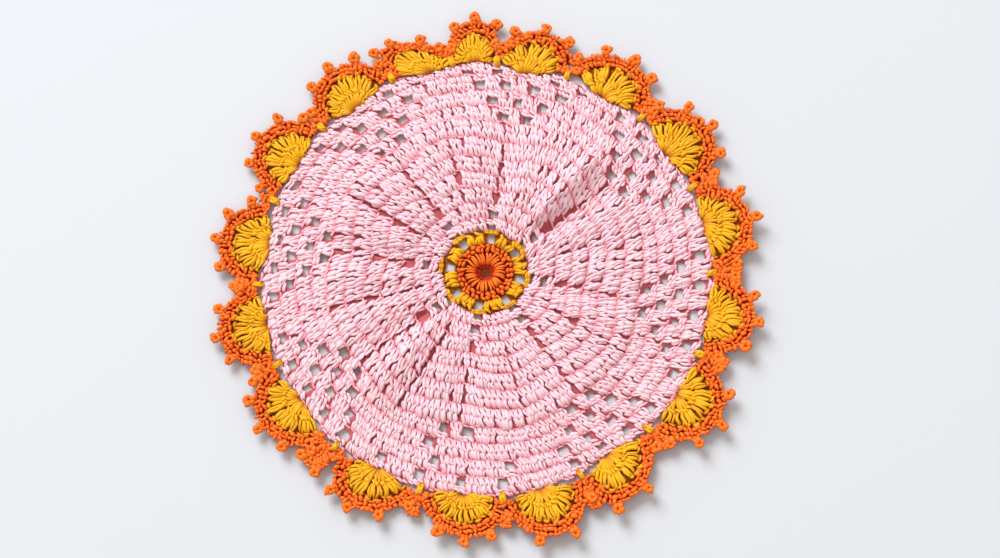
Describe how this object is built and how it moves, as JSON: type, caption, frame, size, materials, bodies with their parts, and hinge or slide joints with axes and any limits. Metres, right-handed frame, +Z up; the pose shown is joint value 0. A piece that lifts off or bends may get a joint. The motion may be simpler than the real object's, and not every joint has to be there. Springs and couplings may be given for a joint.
{
  "type": "lace doily",
  "caption": "Round crochet doily with a close pink centre, open mesh triangles, a ring of yellow shells and a scalloped orange picot edge.",
  "frame": {"origin": "centre of the bounding box, on the surface that the doily lies on", "axes": "+Z up, out of the upper side of the cloth; +X and +Y lie in the surface, with the start line of one of the eight repeats 35 degrees anticlockwise of +X"},
  "size_m": [0.2696, 0.2684, 0.0089],
  "materials": {
    "orange_cotton": "plied mercerised cotton yarn, deep orange, slightly glossy",
    "yellow_cotton": "plied mercerised cotton yarn, golden yellow, slightly glossy",
    "pink_cotton": "plied mercerised cotton yarn, pale pink, slightly glossy"
  },
  "bodies": {
    "root": {"rosette": "orange_cotton", "yellow_round": "yellow_cotton", "pink_body": "pink_cotton", "shell_round": "yellow_cotton", "picot_edging": "orange_cotton"}
  },
  "joints": []
}
